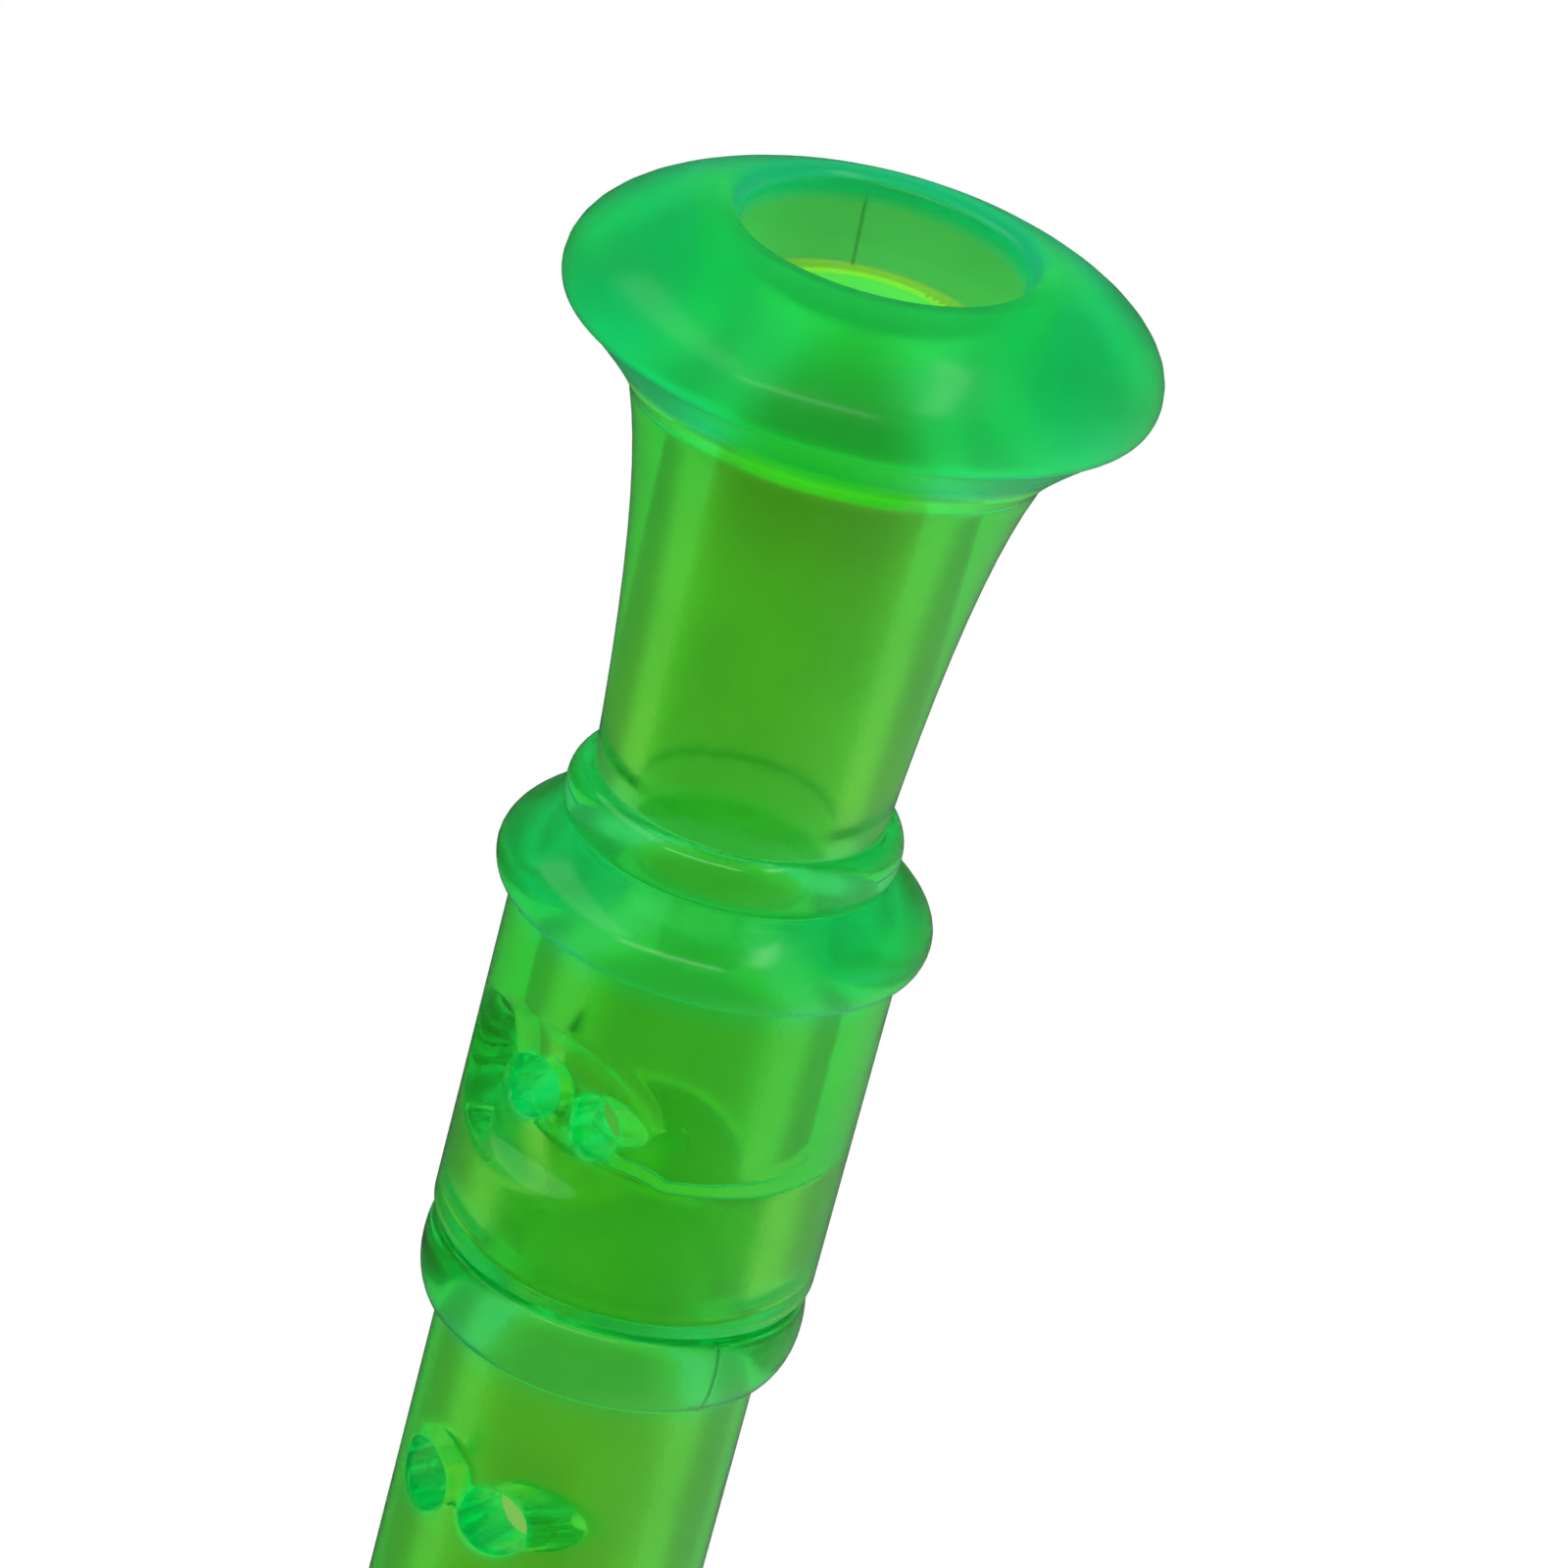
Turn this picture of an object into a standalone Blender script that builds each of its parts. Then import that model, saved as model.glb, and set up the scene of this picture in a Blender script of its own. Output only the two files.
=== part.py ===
"""Soprano recorder of clear green plastic, standing on its bell: foot, middle and head joints and the block.

Metres. +Z runs from the bell to the mouthpiece, the finger holes face -Y and the thumb hole faces +Y.
"""

import math

import bmesh
import bpy
from mathutils import Matrix

MM = 0.001

# Fits
SLIP = 0.3 * MM  # gap between a tenon and its socket, and between faces that seat on each other
OVERCUT = 2.0 * MM  # how far a cutter runs past the surface that it opens

# Facets
TURN_STEPS = 48
HOLE_SIDES = 20
BEAK_SIDES = 96
WINDWAY_FACETS = 11  # odd, so that no edge of it lies on the middle line
CURVE_STEPS = 5

# Bore
FOOT_BORE_R = 5.6 * MM
MIDDLE_BORE_LOW_R = 5.5 * MM
MIDDLE_BORE_HIGH_R = 6.5 * MM
HEAD_BORE_R = 6.7 * MM

# Bell of the foot joint
BELL_R = 16.9 * MM
BELL_DOME_HEIGHT = 5.4 * MM
BELL_DOME_PULL = 2.3 * MM  # height at the rim that the dome's curve is drawn towards
BELL_FACE_WIDTH = 0.6 * MM  # of the flat ring that the recorder stands on
BELL_MOUTH_R = 8.1 * MM
BELL_LIP = 0.9 * MM
BELL_STEP_R = 7.1 * MM
BELL_STEP_DEPTH = 4.9 * MM
RIM_EDGE_ROUND = 1.1 * MM
RIM_UNDERSIDE_HEIGHT = 6.4 * MM
RIM_COVE_OUT = 0.2 * MM  # from the flare to where the underside's curve is drawn
RIM_COVE_DOWN = 1.4 * MM

# Neck and beads
NECK_WALL = 2.9 * MM
NECK_LENGTH = 22.6 * MM
NECK_FLARE_RISE = 3.2 * MM
NECK_COVE_OUT = 1.0 * MM  # from the neck to where the flare's curve is drawn
NECK_COVE_UP = 6.2 * MM
SMALL_BEAD_RISE = 1.25 * MM
SMALL_BEAD_LENGTH = 3.3 * MM
BEAD_GROOVE_RISE = 0.7 * MM
LARGE_BEAD_RISE = 1.35 * MM  # above the socket body
LARGE_BEAD_LENGTH = 4.9 * MM
LARGE_BEAD_CREST = 1.7 * MM  # from the crest to the socket body

# Middle joint
TUBE_WALL = 3.05 * MM  # at the wide end of the bore
TUBE_LENGTH = 122.4 * MM  # between the two collars
COLLAR_LENGTH = 5.3 * MM
COLLAR_CREST = 2.1 * MM  # from the seating face to the widest line
FOOT_TENON_WALL = 2.0 * MM
FOOT_TENON_LENGTH = 8.6 * MM
HEAD_TENON_WALL = 1.7 * MM
HEAD_TENON_LENGTH = 20.0 * MM
TENON_CHAMFER = 0.5 * MM

# Socket bodies of the foot and the head
SOCKET_WALL = 2.8 * MM  # round the head's socket
FOOT_BODY_BELOW_SOCKET = 13.2 * MM
HEAD_BODY_ABOVE_SOCKET = 5.0 * MM
EDGE_ROUND = 0.8 * MM
SOCKET_CHAMFER = 0.4 * MM

# Tone holes: heights and diameters, with heights above the middle joint's lower seating face
FOOT_DOUBLE_D = 3.5 * MM
MIDDLE_DOUBLE_D = 4.1 * MM
MIDDLE_DOUBLE_HEIGHT = 15.0 * MM
DOUBLE_HOLE_WALL = 1.4 * MM  # between the two holes of a pair
FOOT_HOLE_MARGIN = 0.75 * MM  # from the foot's pair up to the socket's floor
SCOOP_R = 6.0 * MM
SCOOP_WALL = 0.6 * MM  # left outside the socket's radius under the scoop
SCOOP_BELOW_SOCKET = 3.2 * MM  # from the scoop's middle up to the socket's floor
FINGER_HOLES = (
    (31.3 * MM, 5.6 * MM),
    (50.8 * MM, 5.2 * MM),
    (73.3 * MM, 5.2 * MM),
    (92.3 * MM, 5.6 * MM),
    (110.3 * MM, 4.8 * MM),
)
THUMB_HOLE = (117.5 * MM, 5.2 * MM)

# Head joint
HEAD_NECK_WALL = 3.2 * MM
HEAD_NECK_LENGTH = 28.0 * MM
BARREL_WALL = 5.1 * MM
BARREL_LENGTH = 38.0 * MM
BEAK_LENGTH = 31.0 * MM
BEAK_TIP_WALL = 2.7 * MM
BEAK_CUT_R = 45.0 * MM
BEAK_LOWER_LIP = 2.9 * MM  # block left under the windway at the tip
WINDWAY_LENGTH = 44.0 * MM
WINDWAY_WIDTH = 10.4 * MM
WINDWAY_FLOOR_CUT = 0.5 * MM  # into the block
WINDWAY_ROOF_CUT = 0.4 * MM  # into the head's bore
WINDOW_LENGTH = 4.0 * MM
WINDOW_REVEAL = 0.3 * MM  # window wider than the windway on each side
LABIUM_EDGE = 0.3 * MM
LABIUM_RAMP_LENGTH = 18.0 * MM

# Radii that follow from the sizes above
BELL_FACE_R = BELL_MOUTH_R + BELL_LIP + BELL_FACE_WIDTH
NECK_R = FOOT_BORE_R + NECK_WALL
NECK_FLARE_R = NECK_R + NECK_FLARE_RISE
TUBE_R = MIDDLE_BORE_HIGH_R + TUBE_WALL
FOOT_TENON_R = MIDDLE_BORE_LOW_R + FOOT_TENON_WALL
FOOT_SOCKET_R = FOOT_TENON_R + SLIP
HEAD_TENON_R = MIDDLE_BORE_HIGH_R + HEAD_TENON_WALL
HEAD_SOCKET_R = HEAD_TENON_R + SLIP
BODY_R = HEAD_SOCKET_R + SOCKET_WALL
HEAD_NECK_R = HEAD_BORE_R + HEAD_NECK_WALL
BARREL_R = HEAD_BORE_R + BARREL_WALL
BEAK_TIP_R = HEAD_BORE_R + BEAK_TIP_WALL
BLOCK_R = HEAD_BORE_R - SLIP
WINDWAY_FLOOR_R = BLOCK_R - WINDWAY_FLOOR_CUT
WINDWAY_ROOF_R = HEAD_BORE_R + WINDWAY_ROOF_CUT

# Heights that follow: the foot's from the bell's face, the others from the joint's own lower seating face
FLARE_HEIGHT = BELL_DOME_HEIGHT + RIM_UNDERSIDE_HEIGHT
NECK_TOP = FLARE_HEIGHT + NECK_LENGTH
FOOT_SOCKET_FLOOR = NECK_TOP + SMALL_BEAD_LENGTH + LARGE_BEAD_LENGTH + FOOT_BODY_BELOW_SOCKET
FOOT_LENGTH = FOOT_SOCKET_FLOOR + FOOT_TENON_LENGTH
FOOT_HOLE_HEIGHT = FOOT_SOCKET_FLOOR - FOOT_HOLE_MARGIN - FOOT_DOUBLE_D / 2
SCOOP_HEIGHT = FOOT_SOCKET_FLOOR - SCOOP_BELOW_SOCKET
MIDDLE_BASE = FOOT_LENGTH + SLIP
MIDDLE_LENGTH = COLLAR_LENGTH + TUBE_LENGTH + COLLAR_LENGTH
HEAD_BASE = MIDDLE_BASE + MIDDLE_LENGTH + SLIP
HEAD_NECK_START = HEAD_TENON_LENGTH + HEAD_BODY_ABOVE_SOCKET + LARGE_BEAD_LENGTH + SMALL_BEAD_LENGTH
BARREL_START = HEAD_NECK_START + HEAD_NECK_LENGTH
BEAK_START = BARREL_START + BARREL_LENGTH
HEAD_LENGTH = BEAK_START + BEAK_LENGTH
WINDOW_TOP = HEAD_LENGTH - WINDWAY_LENGTH
LABIUM_HEIGHT = WINDOW_TOP - WINDOW_LENGTH

# Directions
FRONT = -1
BACK = 1
ALONG_X = Matrix.Rotation(math.radians(90.0), 4, "Y")
ALONG_Y = Matrix.Rotation(math.radians(90.0), 4, "X")

# Cutters have their edges half a facet away from those of the bodies, so that no two edges meet
HALF_TURN_STEP = math.pi / TURN_STEPS
HALF_HOLE_STEP = Matrix.Rotation(math.pi / HOLE_SIDES, 4, "Z")

# Clear green plastic
PLASTIC = (0.08, 0.55, 0.07, 1.0)
PLASTIC_ROUGHNESS = 0.12
PLASTIC_IOR = 1.49
PLASTIC_TRANSMISSION = 0.8


def clear_scene():
    for obj in list(bpy.data.objects):
        bpy.data.objects.remove(obj, do_unlink=True)


def new_collection(name):
    collection = bpy.data.collections.new(name)
    bpy.context.scene.collection.children.link(collection)
    return collection


def clear_plastic(name):
    material = bpy.data.materials.new(name)
    material.use_nodes = True
    shader = material.node_tree.nodes["Principled BSDF"]
    shader.inputs["Base Color"].default_value = PLASTIC
    shader.inputs["Roughness"].default_value = PLASTIC_ROUGHNESS
    shader.inputs["Metallic"].default_value = 0.0
    shader.inputs["IOR"].default_value = PLASTIC_IOR
    shader.inputs["Transmission Weight"].default_value = PLASTIC_TRANSMISSION
    material.diffuse_color = PLASTIC
    return material


def bend(start, pull, end):
    """Points of a quadratic curve after its start, drawn towards the point pull."""
    points = []
    for step in range(1, CURVE_STEPS + 1):
        t = step / CURVE_STEPS
        shares = ((1 - t) ** 2, 2 * t * (1 - t), t**2)
        points.append(tuple(sum(s * x for s, x in zip(shares, axis)) for axis in zip(start, pull, end)))
    return points


def quarter(start, end, axial_first):
    """Points of a quarter ellipse after its start: it leaves along the axis, or else square to it."""
    points = []
    for step in range(1, CURVE_STEPS + 1):
        turn = math.radians(90.0) * step / CURVE_STEPS
        slow, fast = 1 - math.cos(turn), math.sin(turn)
        across, along = (slow, fast) if axial_first else (fast, slow)
        points.append((start[0] + (end[0] - start[0]) * across, start[1] + (end[1] - start[1]) * along))
    return points


def turned(name, outline, collection, base, first_angle=0.0):
    """A solid of revolution about Z from an outline of (radius, height) that runs down its outer side."""
    mesh = bpy.data.meshes.new(name)
    count = len(outline)
    edges = [(i, (i + 1) % count) for i in range(count)]
    mesh.from_pydata([(radius, 0.0, height) for radius, height in outline], edges, [])
    obj = bpy.data.objects.new(name, mesh)
    collection.objects.link(obj)
    obj.location.z = base
    obj.rotation_euler.z = first_angle
    screw = obj.modifiers.new("turn", "SCREW")
    screw.axis = "Z"
    screw.steps = TURN_STEPS
    screw.render_steps = TURN_STEPS
    screw.use_merge_vertices = True
    screw.merge_threshold = 0.01 * MM
    return obj


def mesh_object(name, shape, collection, base):
    """An object from a bmesh, shaded smooth but for its sharp edges."""
    mesh = bpy.data.meshes.new(name)
    shape.to_mesh(mesh)
    shape.free()
    mesh.shade_smooth()
    mesh.set_sharp_from_angle(angle=math.radians(35.0))
    obj = bpy.data.objects.new(name, mesh)
    collection.objects.link(obj)
    obj.location.z = base
    return obj


def as_cutter(obj):
    obj.hide_render = True
    obj.display_type = "WIRE"
    return obj


def box(name, low, high, collection, base):
    shape = bmesh.new()
    size = [b - a for a, b in zip(low, high)]
    middle = [(a + b) / 2 for a, b in zip(low, high)]
    bmesh.ops.create_cube(shape, size=1.0, matrix=Matrix.Translation(middle) @ Matrix.Diagonal((*size, 1.0)))
    return mesh_object(name, shape, collection, base)


def extruded(name, outline, low, high, collection, base):
    """A solid from low to high over an outline of (x, y)."""
    shape = bmesh.new()
    floor = shape.faces.new([shape.verts.new((x, y, low)) for x, y in outline])
    grown = bmesh.ops.extrude_face_region(shape, geom=[floor], use_keep_orig=True)["geom"]
    raised = [item for item in grown if isinstance(item, bmesh.types.BMVert)]
    bmesh.ops.translate(shape, vec=(0.0, 0.0, high - low), verts=raised)
    bmesh.ops.recalc_face_normals(shape, faces=shape.faces)
    return mesh_object(name, shape, collection, base)


def cylinder(name, radius, length, sides, place, collection, base):
    """A closed cylinder about the Z axis of place, with its middle at the origin of place."""
    shape = bmesh.new()
    bmesh.ops.create_cone(
        shape,
        cap_ends=True,
        segments=sides,
        radius1=radius,
        radius2=radius,
        depth=length,
        matrix=place,
    )
    return mesh_object(name, shape, collection, base)


def drill(name, across, height, diameter, outwards, collection, base):
    """A round cutter from the middle plane outwards, to the front (-1) or the back (1)."""
    reach = BODY_R + OVERCUT
    place = Matrix.Translation((across, outwards * reach / 2, height)) @ ALONG_Y @ HALF_HOLE_STEP
    return as_cutter(cylinder(name, diameter / 2, reach, HOLE_SIDES, place, collection, base))


def boolean(obj, other, operation):
    modifier = obj.modifiers.new(operation.lower() + " " + other.name, "BOOLEAN")
    modifier.operation = operation
    modifier.solver = "EXACT"
    modifier.object = other


def cut(obj, cutters):
    for cutter in cutters:
        boolean(obj, cutter, "DIFFERENCE")


def double_hole(name, height, diameter, collection, base):
    """The two small holes side by side under one finger."""
    across = (diameter + DOUBLE_HOLE_WALL) / 2
    return [
        drill(f"{name}_{side}", sign * across, height, diameter, FRONT, collection, base)
        for side, sign in (("left", -1), ("right", 1))
    ]


def beads(neck_r, neck_end, towards_body):
    """The outline of the small and the large bead, from the neck to the socket body."""
    neck = (neck_r, neck_end)
    groove = (neck_r + BEAD_GROOVE_RISE, neck_end + towards_body * SMALL_BEAD_LENGTH)
    body = (BODY_R, groove[1] + towards_body * LARGE_BEAD_LENGTH)
    small_crest = (neck_r + SMALL_BEAD_RISE, (neck[1] + groove[1]) / 2)
    large_crest = (BODY_R + LARGE_BEAD_RISE, body[1] - towards_body * LARGE_BEAD_CREST)
    shoulder = (large_crest[0], (groove[1] + large_crest[1]) / 2)
    outline = [neck, *quarter(neck, small_crest, False), *quarter(small_crest, groove, True)]
    return outline + bend(groove, shoulder, large_crest) + quarter(large_crest, body, True)


def foot_outline():
    mouth_edge = (FOOT_SOCKET_R + SOCKET_CHAMFER, FOOT_LENGTH)
    body_edge = (BODY_R - EDGE_ROUND, FOOT_LENGTH)
    flare = (NECK_FLARE_R, FLARE_HEIGHT)
    under_edge = (BELL_R - RIM_EDGE_ROUND / 2, BELL_DOME_HEIGHT + RIM_EDGE_ROUND)
    rim = (BELL_R, BELL_DOME_HEIGHT)
    lip = (BELL_FACE_R - BELL_FACE_WIDTH, 0.0)
    outline = [mouth_edge, body_edge, *quarter(body_edge, (BODY_R, FOOT_LENGTH - EDGE_ROUND), False)]
    outline += reversed(beads(NECK_R, NECK_TOP, 1))
    outline += bend((NECK_R, NECK_TOP), (NECK_R + NECK_COVE_OUT, FLARE_HEIGHT + NECK_COVE_UP), flare)
    outline += bend(flare, (NECK_FLARE_R + RIM_COVE_OUT, FLARE_HEIGHT - RIM_COVE_DOWN), under_edge)
    outline += quarter(under_edge, rim, False)
    outline += bend(rim, (BELL_R, BELL_DOME_PULL), (BELL_FACE_R, 0.0))
    outline += [lip, *quarter(lip, (BELL_MOUTH_R, BELL_LIP), False)]
    outline += [(BELL_STEP_R, BELL_STEP_DEPTH), (FOOT_BORE_R, BELL_STEP_DEPTH)]
    outline += [(FOOT_BORE_R, FOOT_SOCKET_FLOOR), (FOOT_SOCKET_R, FOOT_SOCKET_FLOOR)]
    return outline + [(FOOT_SOCKET_R, FOOT_LENGTH - SOCKET_CHAMFER)]


def scoop_cutter(cutters):
    """A cylinder across the front, whose face is the hollow round the foot's two holes."""
    depth_centre = FOOT_SOCKET_R + SCOOP_WALL + SCOOP_R
    place = Matrix.Translation((0.0, FRONT * depth_centre, SCOOP_HEIGHT)) @ ALONG_X
    return as_cutter(cylinder("foot_scoop", SCOOP_R, 2 * (BODY_R + OVERCUT), TURN_STEPS, place, cutters, 0.0))


def build_foot(parts, cutters):
    foot = turned("foot_joint", foot_outline(), parts, 0.0)
    holes = double_hole("foot_hole", FOOT_HOLE_HEIGHT, FOOT_DOUBLE_D, cutters, 0.0)
    cut(foot, [scoop_cutter(cutters), *holes])
    return foot


def collar(seat, outwards):
    """A collar's outline from its seating face, at the tenon, to the tube."""
    edge = (BODY_R - EDGE_ROUND, seat)
    crest = (BODY_R, seat + outwards * COLLAR_CREST)
    tube = (TUBE_R, seat + outwards * COLLAR_LENGTH)
    return [edge, *bend(edge, (BODY_R, seat), crest), *quarter(crest, tube, True)]


def middle_outline():
    top = MIDDLE_LENGTH + HEAD_TENON_LENGTH
    bottom = -FOOT_TENON_LENGTH
    outline = [(HEAD_TENON_R - TENON_CHAMFER, top), (HEAD_TENON_R, top - TENON_CHAMFER)]
    outline += [(HEAD_TENON_R, MIDDLE_LENGTH), *collar(MIDDLE_LENGTH, -1)]
    outline += [*reversed(collar(0.0, 1)), (FOOT_TENON_R, 0.0)]
    outline += [(FOOT_TENON_R, bottom + TENON_CHAMFER), (FOOT_TENON_R - TENON_CHAMFER, bottom)]
    return outline + [(MIDDLE_BORE_LOW_R, bottom), (MIDDLE_BORE_HIGH_R, top)]


def build_middle(parts, cutters):
    middle = turned("middle_joint", middle_outline(), parts, MIDDLE_BASE)
    holes = double_hole("middle_hole", MIDDLE_DOUBLE_HEIGHT, MIDDLE_DOUBLE_D, cutters, MIDDLE_BASE)
    for number, (height, diameter) in enumerate(FINGER_HOLES):
        holes.append(drill(f"finger_hole_{number}", 0.0, height, diameter, FRONT, cutters, MIDDLE_BASE))
    holes.append(drill("thumb_hole", 0.0, *THUMB_HOLE, BACK, cutters, MIDDLE_BASE))
    cut(middle, holes)
    return middle


def head_outline():
    tip_edge = (BEAK_TIP_R - EDGE_ROUND, HEAD_LENGTH)
    tip_side = (BEAK_TIP_R, HEAD_LENGTH - EDGE_ROUND)
    barrel_low = (BARREL_R, BARREL_START)
    neck = (HEAD_NECK_R, HEAD_NECK_START)
    body_side = (BODY_R, EDGE_ROUND)
    outline = [tip_edge, *quarter(tip_edge, tip_side, False)]
    outline += bend(tip_side, (BARREL_R, (BEAK_START + HEAD_LENGTH) / 2), (BARREL_R, BEAK_START))
    outline += [barrel_low, *bend(barrel_low, (BARREL_R, (BARREL_START + HEAD_NECK_START) / 2), neck)]
    outline += beads(HEAD_NECK_R, HEAD_NECK_START, -1)[1:]
    outline += [body_side, *quarter(body_side, (BODY_R - EDGE_ROUND, 0.0), True)]
    outline += [(HEAD_SOCKET_R + SOCKET_CHAMFER, 0.0), (HEAD_SOCKET_R, SOCKET_CHAMFER)]
    outline += [(HEAD_SOCKET_R, HEAD_TENON_LENGTH), (HEAD_BORE_R, HEAD_TENON_LENGTH)]
    return outline + [(HEAD_BORE_R, HEAD_LENGTH)]


def windway_arc(radius):
    """Points across the front of the head at a radius, over the windway's width from left to right."""
    across = [WINDWAY_WIDTH * (step / WINDWAY_FACETS - 0.5) for step in range(WINDWAY_FACETS + 1)]
    return [(x, FRONT * math.sqrt(radius**2 - x**2)) for x in across]


def windway_cutter(cutters):
    """The curved slot from the window to the tip, between the roof in the head and the floor on the block."""
    outline = windway_arc(WINDWAY_ROOF_R) + windway_arc(WINDWAY_FLOOR_R)[::-1]
    low, high = WINDOW_TOP - WINDOW_LENGTH / 2, HEAD_LENGTH + OVERCUT
    return as_cutter(extruded("windway_cutter", outline, low, high, cutters, HEAD_BASE))


def window_cutter(cutters):
    """The window and the ramp that rises from the labium's edge to the barrel."""
    edge_r = HEAD_BORE_R + LABIUM_EDGE
    far_r = BARREL_R + OVERCUT
    ramp_foot = LABIUM_HEIGHT - LABIUM_RAMP_LENGTH * (far_r - edge_r) / (BARREL_R - edge_r)
    inner_r = HEAD_BORE_R - OVERCUT
    outline = [(far_r, WINDOW_TOP), (far_r, ramp_foot), (edge_r, LABIUM_HEIGHT), (inner_r, LABIUM_HEIGHT)]
    outline.append((inner_r, WINDOW_TOP))
    window = as_cutter(turned("window_cutter", outline, cutters, HEAD_BASE, HALF_TURN_STEP))
    half_width = WINDWAY_WIDTH / 2 + WINDOW_REVEAL
    low = (-half_width, -far_r - OVERCUT, 0.0)
    high = (half_width, -OVERCUT, HEAD_LENGTH)
    strip = as_cutter(box("window_strip", low, high, cutters, HEAD_BASE))
    boolean(window, strip, "INTERSECT")
    return window


def beak_cutter(cutters):
    """A large cylinder across the back, whose face is the hollow underside of the beak."""
    tip = (BEAK_LOWER_LIP - WINDWAY_FLOOR_R, HEAD_LENGTH)
    back = (BARREL_R, BEAK_START)
    chord = math.dist(tip, back)
    along = ((back[0] - tip[0]) / chord, (back[1] - tip[1]) / chord)
    rise = math.sqrt(BEAK_CUT_R**2 - (chord / 2) ** 2)
    centre = (0.0, (tip[0] + back[0]) / 2 - along[1] * rise, (tip[1] + back[1]) / 2 + along[0] * rise)
    place = Matrix.Translation(centre) @ ALONG_X
    width = 2 * (BARREL_R + OVERCUT)
    return as_cutter(cylinder("beak_cutter", BEAK_CUT_R, width, BEAK_SIDES, place, cutters, HEAD_BASE))


def build_head(parts, cutters):
    """The head joint and the block that plugs it."""
    head = turned("head_joint", head_outline(), parts, HEAD_BASE)
    place = Matrix.Translation((0.0, 0.0, WINDOW_TOP + WINDWAY_LENGTH / 2))
    block = cylinder("fipple_block", BLOCK_R, WINDWAY_LENGTH, TURN_STEPS, place, parts, 0.0)
    block.parent = head
    windway = windway_cutter(cutters)
    beak = beak_cutter(cutters)
    cut(head, [window_cutter(cutters), windway, beak])
    cut(block, [windway, beak])
    return [head, block]


def main():
    clear_scene()
    parts = new_collection("recorder")
    cutters = new_collection("cutters")
    pieces = [build_foot(parts, cutters), build_middle(parts, cutters), *build_head(parts, cutters)]
    for piece in pieces:
        piece.data.materials.append(clear_plastic(piece.name + "_plastic"))


main()
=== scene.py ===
"""Looks of the clear green recorder: finely turned joints with real tone holes, in see-through plastic.

Metres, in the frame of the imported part: +Z runs from the bell to the mouthpiece, finger holes face -Y.
"""

import math
from functools import partial

import bmesh
import bpy
import numpy as np
from mathutils import Matrix, Vector


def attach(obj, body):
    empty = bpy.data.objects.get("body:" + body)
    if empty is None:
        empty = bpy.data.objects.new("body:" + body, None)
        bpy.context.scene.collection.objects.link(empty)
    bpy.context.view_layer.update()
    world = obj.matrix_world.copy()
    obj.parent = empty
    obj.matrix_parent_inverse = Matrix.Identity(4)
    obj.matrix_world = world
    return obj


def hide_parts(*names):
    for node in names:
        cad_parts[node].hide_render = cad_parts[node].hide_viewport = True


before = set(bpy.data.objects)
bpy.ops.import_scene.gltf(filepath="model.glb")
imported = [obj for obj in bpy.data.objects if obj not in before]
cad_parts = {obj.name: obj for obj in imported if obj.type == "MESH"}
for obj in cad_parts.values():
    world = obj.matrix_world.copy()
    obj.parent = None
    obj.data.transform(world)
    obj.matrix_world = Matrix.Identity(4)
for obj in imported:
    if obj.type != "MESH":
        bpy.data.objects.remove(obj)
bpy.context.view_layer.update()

MM = 0.001

# Fits and edges
SLIP = 0.3 * MM  # gap between pieces that seat, slide or press on each other
OVERCUT = 2.0 * MM  # how far a cutter stands out of the piece it cuts
EDGE_SOFT = 0.25 * MM  # rounding of every sharp corner of a turned outline
HOLE_SOFT = 0.3 * MM  # rounding of a tone hole's edges
SCOOP_SOFT = 0.7 * MM  # blend between the scoop and the foot's body

# Fineness
TURN_STEPS = 160
FRONT_STEPS = 2  # columns in the foot's front half, which has the scoop, for each one in its back half
ROW_LENGTH = 0.9 * MM
SCOOP_ROW_LENGTH = 0.3 * MM
CURVE_STEPS = 10
CORNER_STEPS = 4
CORNER_SHARE = 0.45  # most of a run's length that the rounding of one corner takes
HOLE_STEPS = 48
HOLE_WALL_STEPS = 4
HOLE_MARGIN = 0.15 * MM  # smooth skin kept round a tone hole's soft edge
SKIN_PASSES = 8  # passes that find the skin's place beside a tone hole
BEAK_SIDES = 360
WINDWAY_FACETS = 41
SHARP_TURN = math.radians(15.0)  # a corner that turns more than this is sharp

# Bore
FOOT_BORE_R = 5.6 * MM
MIDDLE_BORE_LOW_R = 5.5 * MM
MIDDLE_BORE_HIGH_R = 6.5 * MM
HEAD_BORE_R = 6.7 * MM

# Bell of the foot joint
BELL_R = 16.9 * MM
BELL_DOME_HEIGHT = 5.4 * MM
BELL_DOME_PULL = 2.3 * MM
BELL_FACE_WIDTH = 0.6 * MM
BELL_MOUTH_R = 8.1 * MM
BELL_LIP = 0.9 * MM
BELL_STEP_R = 7.1 * MM
BELL_STEP_DEPTH = 4.9 * MM
RIM_EDGE_ROUND = 1.1 * MM
RIM_UNDERSIDE_HEIGHT = 6.4 * MM
RIM_COVE_OUT = 0.2 * MM
RIM_COVE_DOWN = 1.4 * MM

# Neck and beads
NECK_WALL = 2.9 * MM
NECK_LENGTH = 22.6 * MM
NECK_FLARE_RISE = 3.2 * MM
NECK_COVE_OUT = 1.0 * MM
NECK_COVE_UP = 6.2 * MM
SMALL_BEAD_RISE = 1.25 * MM
SMALL_BEAD_LENGTH = 3.3 * MM
BEAD_GROOVE_RISE = 0.7 * MM
LARGE_BEAD_RISE = 1.35 * MM
LARGE_BEAD_LENGTH = 4.9 * MM
LARGE_BEAD_CREST = 1.7 * MM

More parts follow.
